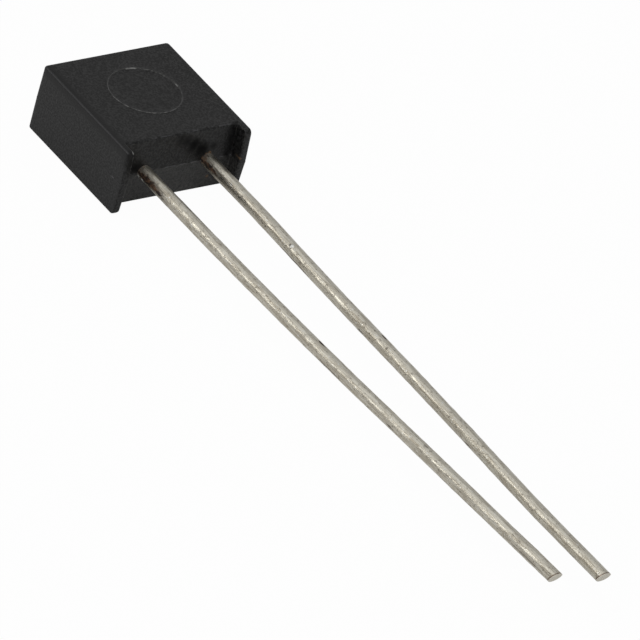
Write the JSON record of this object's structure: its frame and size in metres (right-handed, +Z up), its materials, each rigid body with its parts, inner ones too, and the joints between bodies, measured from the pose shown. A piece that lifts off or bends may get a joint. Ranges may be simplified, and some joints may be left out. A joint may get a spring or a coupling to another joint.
{
  "type": "foil resistor",
  "caption": "Square black moulded resistor with a metal foil element inside, standoff ribs at the lead end and long round tinned wire leads with slanted cut tips.",
  "frame": {"origin": "middle of the case's lower large face, on which the resistor lies", "axes": "+X across the leads, +Y from the standoff tips to the back of the case so that the leads run towards -Y, +Z up through the case's thickness to the face with the ejector mark"},
  "size_m": [0.0078, 0.0442, 0.0039],
  "materials": {
    "epoxy": "fine-grained matte black epoxy moulding compound",
    "soft_coat": "soft grey silicone coat",
    "alumina": "ground white alumina",
    "cement": "thin amber adhesive layer",
    "foil_alloy": "etched nickel-chromium foil",
    "ribbon_metal": "thin rolled copper-alloy ribbon",
    "tinned_wire": "dull solder-coated copper wire"
  },
  "bodies": {
    "root": {"moulded_case": "epoxy", "cushion_coat": "soft_coat", "ceramic_plate": "alumina", "foil_cement": "cement", "resistance_foil": "foil_alloy", "terminal_ribbon_left": "ribbon_metal", "terminal_ribbon_right": "ribbon_metal", "lead_left": "tinned_wire", "lead_right": "tinned_wire"}
  },
  "joints": []
}
